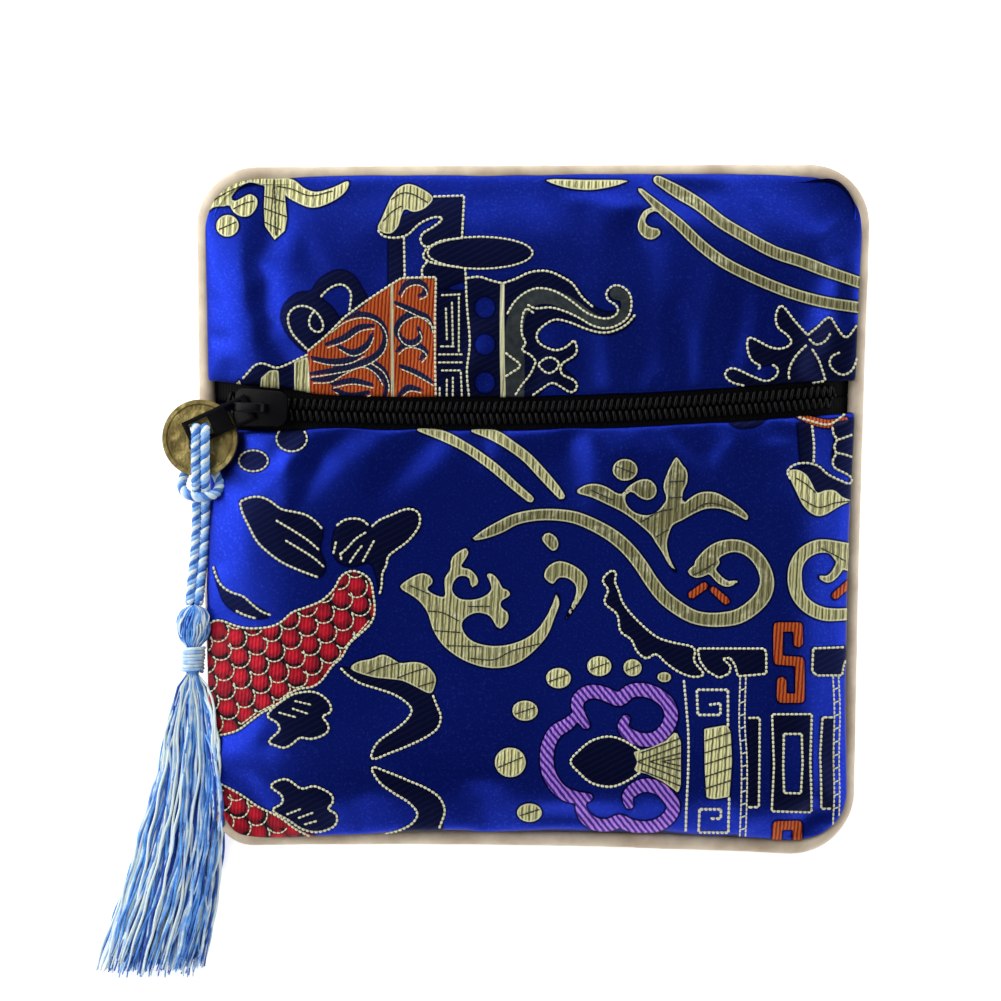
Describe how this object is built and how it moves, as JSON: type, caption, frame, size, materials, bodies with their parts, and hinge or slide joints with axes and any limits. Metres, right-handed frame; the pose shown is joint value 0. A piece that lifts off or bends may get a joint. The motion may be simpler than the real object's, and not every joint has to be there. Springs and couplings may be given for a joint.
{
  "type": "chinese brocade zip purse with coin and tassel",
  "caption": "Flat square padded brocade pouch with a curved coil zipper, round piping at the seam, and a holed coin charm and a silk tassel hanging on a cord from the pull tab.",
  "frame": {"origin": "centre of the back panel's flat resting face, at the middle of the pouch's outline", "axes": "+Z out of the front of the pouch as it lies on its back, +Y towards the pouch's top seam, +X to the right"},
  "size_m": [0.132, 0.1393, 0.0133],
  "materials": {
    "satin_front": "royal blue satin brocade with gold, red, purple and navy floats",
    "satin_back": "royal blue satin brocade",
    "piping_satin": "champagne bias satin over cord",
    "zipper_nylon": "black woven tape",
    "coil_nylon": "black nylon coil",
    "enamel_metal": "black gloss enamel, rubbed on its edges",
    "old_brass": "antiqued cast brass",
    "blue_silk": "light blue rayon silk, glossy"
  },
  "bodies": {
    "root": {"front_panel_upper": "satin_front", "front_panel_lower": "satin_front", "back_panel": "satin_back", "piping": "piping_satin", "zipper_tape_upper": "zipper_nylon", "zipper_tape_lower": "zipper_nylon", "zipper_coil_upper": "coil_nylon", "zipper_coil_lower": "coil_nylon", "slider_body": "enamel_metal", "pull_tab": "enamel_metal", "coin": "old_brass", "cord": "blue_silk", "tassel": "blue_silk", "tassel_wrap": "blue_silk"}
  },
  "joints": []
}
